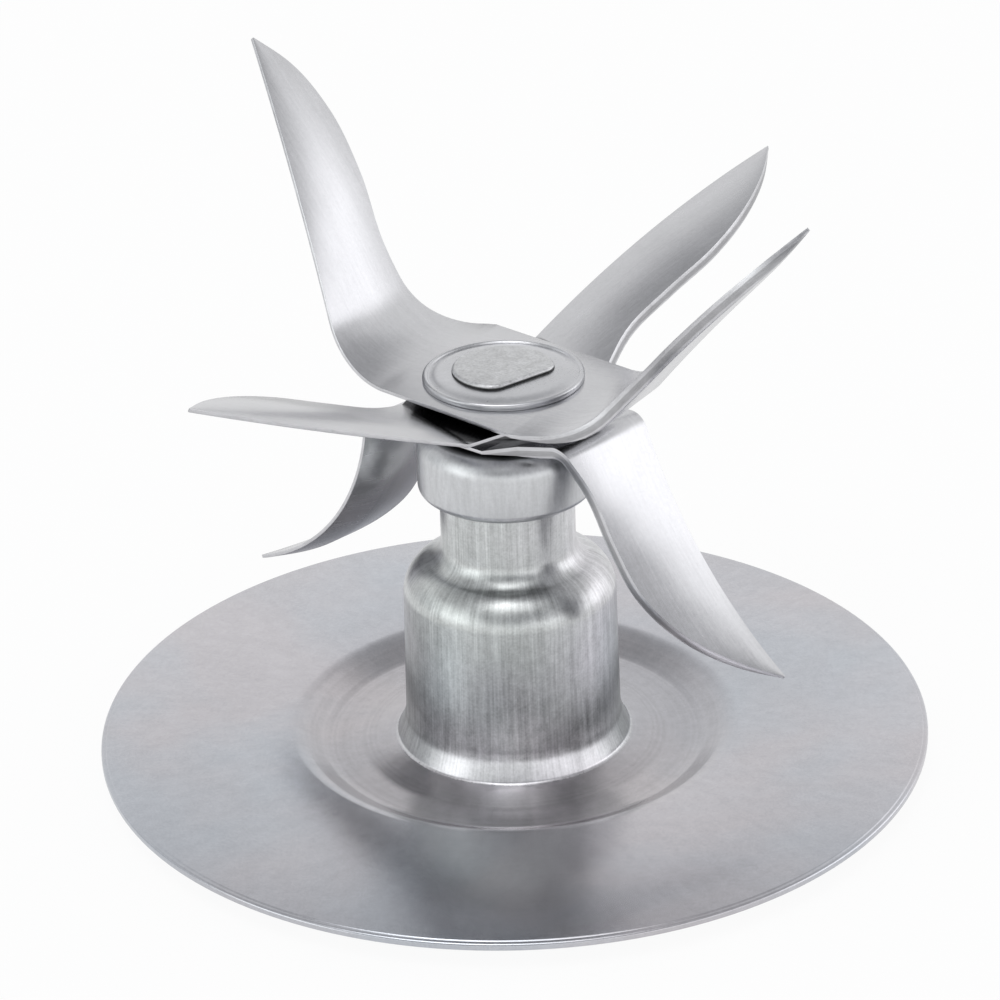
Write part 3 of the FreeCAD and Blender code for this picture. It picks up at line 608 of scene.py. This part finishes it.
def dull(name, color, metallic, rough, grain, amount):
    """A plain body colour with a fine grain."""
    made = bpy.data.materials.new(name)
    made.use_nodes = True
    tree = made.node_tree
    shader = tree.nodes["Principled BSDF"]
    shader.inputs["Metallic"].default_value = metallic
    coords = place(tree, "ShaderNodeTexCoord")
    patchy = group(tree, clouds, Vector=coords.outputs["Object"], Size=grain, Amount=amount)
    tone = maths(tree, "ADD", patchy.outputs["Patch"], patchy.outputs["Speck"])
    tree.links.new(tinted(tree, color, tone), shader.inputs["Base Color"])
    uneven = maths(tree, "MULTIPLY", tone, DULL_SWING)
    tree.links.new(maths(tree, "ADD", uneven, rough), shader.inputs["Roughness"])
    bumped(tree, shader, patchy.outputs["Speck"], DULL_BUMP)
    return made


bronze = dull("bronze", (0.42, 0.25, 0.10), 1.0, 0.42, 300.0, 0.5)
nylon = dull("nylon", (0.72, 0.70, 0.64), 0.0, 0.45, 200.0, 0.15)
rubber = dull("seal_rubber", (0.03, 0.03, 0.032), 0.0, 0.6, 200.0, 0.4)
print("other materials:", bronze.name, nylon.name, rubber.name)

# %% [markdown]
# ## Turned and drawn pieces
# A drawn cup or a turned ring is the same all round, so it is made as a lathe would: a profile of a
# few vertices in the XZ plane, its corners rounded by a bevel of vertices, and one full spin about the
# axis. The spin merges its last step with its first, so the skin is closed. Sizes are in millimetres
# until the piece is linked.

# %% Spin a profile
SPIN_STEPS = 192
MERGE = 0.0005


def link_piece(name, bm, materials, body, slot, *replaced):
    """Turns a bmesh in millimetres into a smooth piece that rides on a body."""
    bmesh.ops.scale(bm, vec=(MM, MM, MM), verts=bm.verts)
    mesh = bpy.data.meshes.new(name)
    bm.to_mesh(mesh)
    bm.free()
    for material in materials:
        mesh.materials.append(material)
    for face in mesh.polygons:
        face.use_smooth = True
    piece = bpy.data.objects.new(name, mesh)
    scene.collection.objects.link(piece)
    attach(piece, body)
    if replaced:
        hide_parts(*replaced)
    return piece


def profile_edges(bm, corners):
    """A closed line in the XZ plane; each corner is (radius, height) and may add (rounding, segments)."""
    points = [bm.verts.new((corner[0], 0.0, corner[1])) for corner in corners]
    for i, point in enumerate(points):
        bm.edges.new((point, points[(i + 1) % len(points)]))
    for point, (_, _, *rounding) in zip(points, corners):
        if rounding:
            bmesh.ops.bevel(bm, geom=[point], offset=rounding[0], offset_type="OFFSET", segments=rounding[1],
                            profile=0.5, affect="VERTICES", material=-1)


def spun(corners):
    """A closed skin from a closed profile, spun once round the axis."""
    bm = bmesh.new()
    profile_edges(bm, corners)
    bmesh.ops.spin(bm, geom=bm.verts[:] + bm.edges[:], cent=(0, 0, 0), axis=(0, 0, 1), dvec=(0, 0, 0),
                   angle=math.tau, steps=SPIN_STEPS, use_merge=True)
    bmesh.ops.remove_doubles(bm, verts=bm.verts, dist=MERGE)
    bmesh.ops.recalc_face_normals(bm, faces=bm.faces)
    return bm


def crease(piece, degrees):
    """Marks the edges that are sharper than an angle, so that smooth shading stops there."""
    bm = bmesh.new()
    bm.from_mesh(piece.data)
    for edge in bm.edges:
        edge.smooth = edge.calc_face_angle(0.0) < math.radians(degrees)
    bm.to_mesh(piece.data)
    bm.free()


# %% [markdown]
# ### Base
# The base is drawn from one disc 0.6 mm thick. Its profile runs from the rim over the flange, down
# into the recess, up the column, over the shoulder and up the neck, and back along the inside, one
# sheet's thickness away. The real bends are round, so their corners get a rounding here, and a larger
# one gets more segments.

# %% Base shell
base = link_piece("base_shell", spun([
    (31.0, 1.8, 0.18, 5), (30.68, 1.82), (30.6, 1.9, 0.04, 2), (16.2, 1.9, 0.6, 8), (14.1, 0.6, 0.4, 6),
    (11.5, 0.62, 0.35, 5), (8.72, 1.12, 0.2, 5), (8.06, 2.85, 0.5, 6), (7.84, 14.85, 1.84, 14),
    (4.96, 15.86, 1.15, 12), (4.96, 24.2, 0.15, 4), (4.36, 24.2, 0.1, 3), (4.36, 15.45, 0.8, 8),
    (7.24, 14.43, 1.1, 10), (7.24, 0.0, 2.4, 12), (14.27, 0.0, 0.5, 6), (16.37, 1.3, 0.5, 6),
    (31.0, 1.3, 0.08, 3),
]), [base_face], "housing", "base_steel", "base_housing")
crease(base, 35)
print("base shell:", len(base.data.polygons), "faces")

# %% [markdown]
# ### Splash cap
# The cap is a short cup, pressed over the top of the neck and turned in a little at its lower edge.

# %% Cap shell
CAP_TOP = 26.1
CAP_UNDER = 25.5
cap = link_piece("cap_shell", spun([
    (2.6, CAP_TOP), (6.5, CAP_TOP, 1.7, 14), (6.5, 21.5, 0.3, 5), (5.75, 21.0, 0.12, 3),
    (5.75, 21.35, 0.1, 2), (5.9, 21.9, 0.2, 3), (5.9, CAP_UNDER, 0.6, 6), (2.6, CAP_UNDER),
]), [cap_face], "rotor", "cap_steel", "slinger_cap")
crease(cap, 40)
print("cap shell:", len(cap.data.polygons), "faces")

# %% [markdown]
# ### Top washer and spacer
# The washer under the riveted head has a raised middle, a groove, and a soft bead at its rim. The
# spacer is a plain turned ring that keeps the lower blade and the middle blade apart.

# %% Top washer and spacer
WASHER_LOW = 29.85
WASHER_TOP = 30.47
SPACER_LOW = 27.0
SPACER_TOP = 28.05
washer = link_piece("washer_disc", spun([
    (1.9, WASHER_LOW), (5.85, WASHER_LOW, 0.1, 3), (5.85, 30.32, 0.2, 6), (5.52, 30.36, 0.1, 4),
    (5.42, 30.2, 0.04, 2), (5.2, 30.24, 0.15, 4), (4.75, 30.4, 0.3, 5), (3.5, WASHER_TOP, 0.3, 5),
    (1.9, WASHER_TOP),
]), [washer_face], "rotor", "cap_steel", "top_washer")
crease(washer, 40)
# The spacer takes the darker shadowed steel, which paints the shade of its narrow gap
spacer = link_piece("spacer_ring", spun([
    (2.55, SPACER_LOW), (4.5, SPACER_LOW, 0.12, 3), (4.5, SPACER_TOP, 0.12, 3), (2.55, SPACER_TOP),
]), [shadowed_face], "rotor", "cap_steel", "blade_spacer")
crease(spacer, 40)
print("washer and spacer:", len(washer.data.polygons), "and", len(spacer.data.polygons), "faces")

# %% [markdown]
# ## Blades
# A blade is one strip with an arm at each end. Its section has six corners: a flat top, a ground
# bevel under the leading edge, and a sheared edge at the back. The section is drawn once at the first
# tip and extruded from station to station, through the bend, over the hub and out to the other tip.
# At each station the corners move to where the formulas of the outline put them.

# %% Outline of a blade
# Where along an arm each distance of the sheared edge is given, as a share from the hub to the tip
SHARES = (0.0, 0.18, 0.36, 0.55, 0.74, 0.90, 1.0)


def follow(places, heights, at):
    """A smooth curve through a few stations."""
    count = len(places)
    steps = [places[i + 1] - places[i] for i in range(count - 1)]
    rates = [(heights[i + 1] - heights[i]) / steps[i] for i in range(count - 1)]
    slopes = [rates[0]]
    for i in range(1, count - 1):
        slopes.append((rates[i - 1] * steps[i] + rates[i] * steps[i - 1]) / (steps[i - 1] + steps[i]))
    slopes.append(rates[-1])
    i = max(k for k in range(count - 1) if k == 0 or places[k] <= at)
    f = (at - places[i]) / steps[i]
    first = heights[i] * (1 + 2 * f) * (1 - f) ** 2 + steps[i] * slopes[i] * f * (1 - f) ** 2
    second = heights[i + 1] * f * f * (3 - 2 * f) + steps[i] * slopes[i + 1] * f * f * (f - 1)
    return first + second


def lead_line(blade, at):
    """Distance of the ground edge from the arm's middle line."""
    f = (at - blade["flat"]) / (blade["length"] - blade["flat"])
    root, middle, tip = blade["lead"]
    return root * (1 - f) * (1 - 2 * f) + middle * 4 * f * (1 - f) + tip * f * (2 * f - 1)


def back_line(blade, at):
    """Distance of the sheared edge from the arm's middle line."""
    reach = blade["length"] - blade["flat"]
    places = [blade["flat"] + share * reach for share in SHARES]
    return follow(places, [*blade["back"], blade["lead"][2]], at)


def ground_line(blade, at):
    """The ground edge, which runs straight on across the hub and past it."""
    if at >= blade["flat"]:
        return lead_line(blade, at)
    along, across = blade["hub"]
    root = lead_line(blade, blade["flat"])
    return across + (root - across) * (at + along) / (blade["flat"] + along)


def right_side(blade, at):
    """The blade's outline on its right side, from tip to tip."""
    flat = blade["flat"]
    if at <= -flat:
        return -back_line(blade, -at)
    if at >= -blade["hub"][0]:
        return ground_line(blade, at)
    waist_along, waist_across = blade["waist"]
    if at >= -waist_along:
        f = (at + waist_along) / (waist_along - blade["hub"][0])
        return waist_across + (blade["hub"][1] - waist_across) * f
    f = (at + flat) / (flat - waist_along)
    return -back_line(blade, flat) * (1 - f) + waist_across * f


# %% [markdown]
# ### Path of an arm
# Seen from the side, an arm is flat over the hub, turns through one bend, and then curves gently out
# to the tip. Both curves are arcs, so a place and a slope follow from the length along the strip.

# %% Path of an arm
def along_arc(length, start, turn, whole):
    """Travel along an arc that turns evenly, as steps out and up and the slope at its end."""
    rate = turn / whole
    end = start + rate * length
    return (math.sin(end) - math.sin(start)) / rate, (math.cos(start) - math.cos(end)) / rate, end


def arm_path(blade, arm, at):
    """Place and slope of the strip's middle at a length along one arm."""
    flat = blade["flat"]
    if at <= flat:
        return at, 0.0, 0.0
    bend, curl = (math.radians(angle) for angle in blade["arms"][arm])
    bent = blade["bend_radius"] * abs(bend)
    out, up, slope = along_arc(min(at - flat, bent), 0.0, bend, bent)
    if at - flat > bent:
        more = along_arc(at - flat - bent, slope, curl, blade["length"] - flat - bent)
        out, up, slope = out + more[0], up + more[1], more[2]
    return flat + out, up, slope


# %% [markdown]
# ### One section
# The ground edge of each arm runs on across the hub, so near the hub the plain edge of one arm is
# thinned by the ground edge of the other. That is why a corner's height follows its distance from
# that line, on both sides of the strip. Towards the tip the bevel narrows with the strip.

# %% Section at a station
THICK = 0.9
LAND = 0.25
BEVEL = 2.8
GRIND = (THICK - LAND) / BEVEL
DEBURR = 0.07


def section(blade, at):
    """Six corners across the strip: (across, through) for a station between the two tips."""
    right = right_side(blade, at)
    left = -right_side(blade, -at)
    half = THICK / 2
    sharp = half - LAND
    share = 1.0
    if abs(at) > blade["flat"]:
        share = min(1.0, (right - left - 0.1) / (3 * BEVEL))
    ground = BEVEL * (1 - (1 - share) ** 3)
    low = sharp - GRIND * ground
    ease = min(DEBURR, (right - left) / 6)
    right_low = max(sharp - GRIND * (ground_line(blade, at) - right), low + ease)
    left_low = max(sharp - GRIND * (left + ground_line(blade, -at)), low + ease)
    right_in = min(ground_line(blade, at) - ground, right - ease)
    left_in = max(ground - ground_line(blade, -at), left + ease)
    middle = (right_in + left_in) / 2
    right_in = max(right_in, middle + ease / 2)
    left_in = min(left_in, middle - ease / 2)
    return [(right, half), (left, half), (left, left_low),
            (left_in, low), (right_in, low), (right, right_low)]


# %% [markdown]
# ### Stations along the strip
# The strip is straight over the hub, turns in the bend and tapers at the tip, so the stations lie
# close together where most happens. The very tip is cut off by a hair, as deburring leaves it.

# %% Stations
TIP_CUT = 0.1
HUB_STEPS = 8
BEND_STEPS = 14
ARM_STEPS = 48


def placed(blade, at, corner):
    """A corner of the section, in millimetres in the blade's own frame."""
    across, through = corner
    side = 1 if at >= 0 else -1
    out, up, slope = arm_path(blade, 0 if at >= 0 else 1, abs(at))
    return Vector((side * (out - through * math.sin(slope)), across, up + through * math.cos(slope)))


def stations(blade):
    """Places along the strip, close together where it bends and at the tips."""
    flat = blade["flat"]
    tip = blade["length"] - TIP_CUT
    bent = flat + blade["bend_radius"] * math.radians(max(abs(arm[0]) for arm in blade["arms"]))
    places = {0.0, blade["hub"][0], blade["waist"][0]}
    places.update(flat * i / HUB_STEPS for i in range(1, HUB_STEPS + 1))
    places.update(flat + (bent - flat) * i / BEND_STEPS for i in range(1, BEND_STEPS + 1))
    places.update(bent + (tip - bent) * (1 - (1 - i / ARM_STEPS) ** 1.5) for i in range(1, ARM_STEPS + 1))
    return sorted({-place for place in places} | places)


# %% [markdown]
# ### Extruding the strip
# The first section is one face. Each step extrudes the ring of edges and moves the new corners to the
# next station. The faces take their finish from the side they lie on. A UV map is laid along the
# strip, in metres, for the brushing.

# %% Extrude a blade
SHEET, GROUND, SHEARED = 0, 1, 2


def blade_strip(blade):
    """The whole blade as one closed skin, in millimetres."""
    bm = bmesh.new()
    uv = bm.loops.layers.uv.new("strip")
    places = stations(blade)
    ring = [bm.verts.new(placed(blade, places[0], corner)) for corner in section(blade, places[0])]
    edges = [bm.edges.new((ring[i], ring[(i + 1) % 6])) for i in range(6)]
    bm.faces.new(ring).material_index = SHEARED
    for before, at in zip(places, places[1:]):
        grown = bmesh.ops.extrude_edge_only(bm, edges=edges)["geom"]
        fresh = [item for item in grown if isinstance(item, bmesh.types.BMVert)]
        after = []
        for corner in ring:
            after.append(min(fresh, key=lambda vert: (vert.co - corner.co).length))
            fresh.remove(after[-1])
        for vert, corner in zip(after, section(blade, at)):
            vert.co = placed(blade, at, corner)
        for i in range(6):
            shared = set(after[i].link_faces) & set(after[(i + 1) % 6].link_faces)
            face = shared.pop()
            corners = [section(blade, at)[k] for k in (i, (i + 1) % 6)]
            wide = abs(corners[0][0] - corners[1][0]) > 3 * DEBURR
            face.material_index = SHEET if i in (0, 3) else GROUND if i in (2, 4) and wide else SHEARED
            for loop in face.loops:
                k = (ring + after).index(loop.vert) % 6
                station = at if loop.vert in after else before
                across, through = section(blade, station)[k]
                loop[uv].uv = (station * MM, (through if face.material_index == SHEARED else across) * MM)
        edges = [bm.edges.get((after[i], after[(i + 1) % 6])) for i in range(6)]
        ring = after
    bm.faces.new(ring).material_index = SHEARED
    bmesh.ops.recalc_face_normals(bm, faces=bm.faces)
    return bm


# %% [markdown]
# ### Hole and edges of a blade
# The blades are driven by a spindle end with two flats, and each blade's hole fits over it with a
# little play. A Boolean modifier cuts the hole, and a Bevel modifier takes the sharpness off the
# edges, so that they catch the light as real ones do.

# %% Finish a blade
TANG_RADIUS = 2.5
TANG_FLAT = 1.9
TANG_PLAY = 0.05
TANG_TURN = math.radians(-45.5)
CUTTER_REACH = 2.0
EDGE_SOFT = 0.03


def double_flat_prism(play, low, high, turn):
    """A round bar with two flats, between two heights, in millimetres."""
    bm = bmesh.new()
    bmesh.ops.create_circle(bm, cap_ends=True, segments=48, radius=TANG_RADIUS + play)
    for side in (1, -1):
        geometry = bm.verts[:] + bm.edges[:] + bm.faces[:]
        bmesh.ops.bisect_plane(bm, geom=geometry, plane_co=((TANG_FLAT + play) * side, 0, 0),
                               plane_no=(side, 0, 0), clear_outer=True)
    grown = bmesh.ops.extrude_face_region(bm, geom=bm.faces[:])["geom"]
    raised = [item for item in grown if isinstance(item, bmesh.types.BMVert)]
    bmesh.ops.translate(bm, verts=raised, vec=(0, 0, high - low))
    bmesh.ops.translate(bm, verts=bm.verts, vec=(0, 0, low))
    bmesh.ops.recalc_face_normals(bm, faces=bm.faces)
    bmesh.ops.rotate(bm, cent=(0, 0, 0), matrix=Matrix.Rotation(turn, 3, "Z"), verts=bm.verts)
    return bm


def tang_cutter(name, turn):
    """The bar that cuts a blade's middle hole, a little wider than the spindle's end."""
    bm = double_flat_prism(TANG_PLAY, -CUTTER_REACH, CUTTER_REACH, turn)
    bmesh.ops.scale(bm, vec=(MM, MM, MM), verts=bm.verts)
    mesh = bpy.data.meshes.new(name)
    bm.to_mesh(mesh)
    bm.free()
    return bpy.data.objects.new(name, mesh)


def apply_modifiers(piece):
    """Makes the piece's modifiers part of its mesh."""
    graph = bpy.context.evaluated_depsgraph_get()
    mesh = bpy.data.meshes.new_from_object(piece.evaluated_get(graph))
    piece.modifiers.clear()
    piece.data = mesh


def make_blade(name, blade, node):
    """Builds a blade, cuts its hole, rounds its edges and puts it at its height and turn."""
    bm = blade_strip(blade)
    turn = math.radians(blade["turn"])
    piece = link_piece(name, bm, [blade_face, ground_face, sheared_edge], "rotor", "blade_steel", node)
    cutter = tang_cutter("cutter", TANG_TURN - turn)
    scene.collection.objects.link(cutter)
    hole = piece.modifiers.new("hole", "BOOLEAN")
    hole.object = cutter
    hole.operation = "DIFFERENCE"
    soft = piece.modifiers.new("edges", "BEVEL")
    soft.width = EDGE_SOFT * MM
    soft.segments = 2
    soft.limit_method = "ANGLE"
    soft.angle_limit = math.radians(30)
    apply_modifiers(piece)
    bpy.data.objects.remove(cutter)
    middle = (blade["level"] + THICK / 2) * MM
    piece.data.transform(Matrix.Translation((0, 0, middle)) @ Matrix.Rotation(turn, 4, "Z"))
    crease(piece, 28)
    print(name, len(piece.data.polygons), "faces")
    return piece


# %% [markdown]
# ### The three blades
# The upper blade rises steeply, the middle one gently, and the lower one drops beside the cap and
# flattens out above the base. The two arms of a blade aren't bent quite alike, as in the picture.
# A blade has its turn about the axis and each arm its bend and curl, all in degrees. The lengths are
# in millimetres: the height of the underside (level), the flat part from the axis, the whole length,
# the radius of the bend, and how far the ground edge (lead) and the sheared edge (back) lie from the
# arm's middle line. Hub and waist are two corners of the outline near the axis, along and across.

# %% Make the blades
BLADES = {
    "upper_blade": {
        "turn": 148.0, "level": 28.95, "flat": 6.89, "length": 34.84, "bend_radius": 6.58,
        "arms": ((62.6, -14.0), (49.5, -5.7)), "lead": (5.65, 1.12, -5.1),
        "back": (-7.55, -6.03, -5.75, -7.2, -7.85, -6.9), "hub": (5.5, 8.06), "waist": (6.2, 7.85),
    },
    "middle_blade": {
        "turn": 34.1, "level": 28.05, "flat": 7.0, "length": 33.17, "bend_radius": 1.4,
        "arms": ((26.0, -13.2), (22.9, 2.3)), "lead": (6.18, 7.86, 9.1),
        "back": (-2.5, 0.0, 0.78, 1.53, 3.59, 6.54), "hub": (2.6, 6.1), "waist": (4.9, 3.9),
    },
    "lower_blade": {
        "turn": 134.5, "level": 26.1, "flat": 6.6, "length": 28.8, "bend_radius": 1.1,
        "arms": ((-79.3, 59.3), (-62.7, 26.7)), "lead": (6.52, 6.16, 6.42),
        "back": (-1.86, -0.65, -0.71, -0.6, 1.11, 4.0), "hub": (3.24, 5.57), "waist": (4.6, 3.4),
    },
}
for node, blade in BLADES.items():
    make_blade(node.replace("blade", "cutter"), blade, node)

# %% [markdown]
# ## Riveted head
# The end of the spindle is hammered over the washer. It is a low round boss with one flat side and a
# softened edge, and its face is matt from the hammering. A circle gives the outline: the part of it
# beyond the flat is moved onto the flat's two rounded corners.

# %% Rivet head
RIVET_RADIUS = 3.72
RIVET_FLAT = 2.6
RIVET_CORNER = 1.5
RIVET_TALL = 0.36
RIVET_RIM = 0.3
RIVET_TURN = math.radians(-52.5)


def rivet_head():
    """The hammered boss: the outline with its flat side, raised, its rim rounded."""
    inside = RIVET_FLAT - RIVET_CORNER
    corner = math.acos(inside / (RIVET_RADIUS - RIVET_CORNER))
    bm = bmesh.new()
    bmesh.ops.create_circle(bm, cap_ends=True, segments=120, radius=RIVET_RADIUS)
    for vert in bm.verts:
        angle = math.atan2(vert.co.y, vert.co.x)
        if abs(angle) < corner:
            side = math.copysign((RIVET_RADIUS - RIVET_CORNER) * math.sin(corner), angle)
            vert.co = (inside + RIVET_CORNER * math.cos(angle), side + RIVET_CORNER * math.sin(angle), 0.0)
    grown = bmesh.ops.extrude_face_region(bm, geom=bm.faces[:])["geom"]
    raised = [item for item in grown if isinstance(item, bmesh.types.BMVert)]
    bmesh.ops.translate(bm, verts=raised, vec=(0, 0, RIVET_TALL))
    bmesh.ops.recalc_face_normals(bm, faces=bm.faces)
    rim = [edge for edge in bm.edges if all(vert.co.z > RIVET_TALL / 2 for vert in edge.verts)]
    bmesh.ops.bevel(bm, geom=rim, offset=RIVET_RIM, offset_type="OFFSET", segments=6, profile=0.5,
                    affect="EDGES", material=-1)
    bmesh.ops.rotate(bm, cent=(0, 0, 0), matrix=Matrix.Rotation(RIVET_TURN, 3, "Z"), verts=bm.verts)
    bmesh.ops.translate(bm, verts=bm.verts, vec=(0, 0, WASHER_TOP))
    return bm


rivet = link_piece("rivet_head", rivet_head(), [rivet_face], "rotor", "spindle_steel", "spindle")
crease(rivet, 30)
print("rivet head:", len(rivet.data.polygons), "faces")

# %% [markdown]
# ## Shaft and spindle end
# The head above takes the place of the whole CAD spindle, so the rest of it is made here too: the
# turned shaft inside the column, and the end with two flats that drives the blades.

# %% Shaft and spindle end
SHAFT_LOW = 8.08
TANG_LOW = 25.4
TANG_TOP = 30.5
shaft = link_piece("spindle_shaft", spun([
    (0.0, SHAFT_LOW), (3.0, SHAFT_LOW, 0.3, 3), (3.0, CAP_UNDER, 0.15, 3), (0.0, CAP_UNDER),
]), [shaft_face], "rotor", "spindle_steel")
crease(shaft, 40)
tang = link_piece("spindle_tang", double_flat_prism(0.0, TANG_LOW, TANG_TOP, TANG_TURN), [shaft_face],
                  "rotor", "spindle_steel")
crease(tang, 30)
print("shaft and end:", len(shaft.data.polygons), "and", len(tang.data.polygons), "faces")

# %% [markdown]
# ## Finishes for the inner parts
# The bush, the seal, both thrust washers and the drive socket keep their CAD shapes, which are already
# right, and get their materials here.

# %% Materials of the kept nodes
KEPT = {
    "bearing_bush": bronze, "shaft_seal": rubber, "upper_thrust_washer": nylon, "lower_thrust_washer": nylon,
    "drive_socket": turned_face,
}
for name, material in KEPT.items():
    nodes[name].data.materials.clear()
    nodes[name].data.materials.append(material)
print("kept nodes:", ", ".join(KEPT))
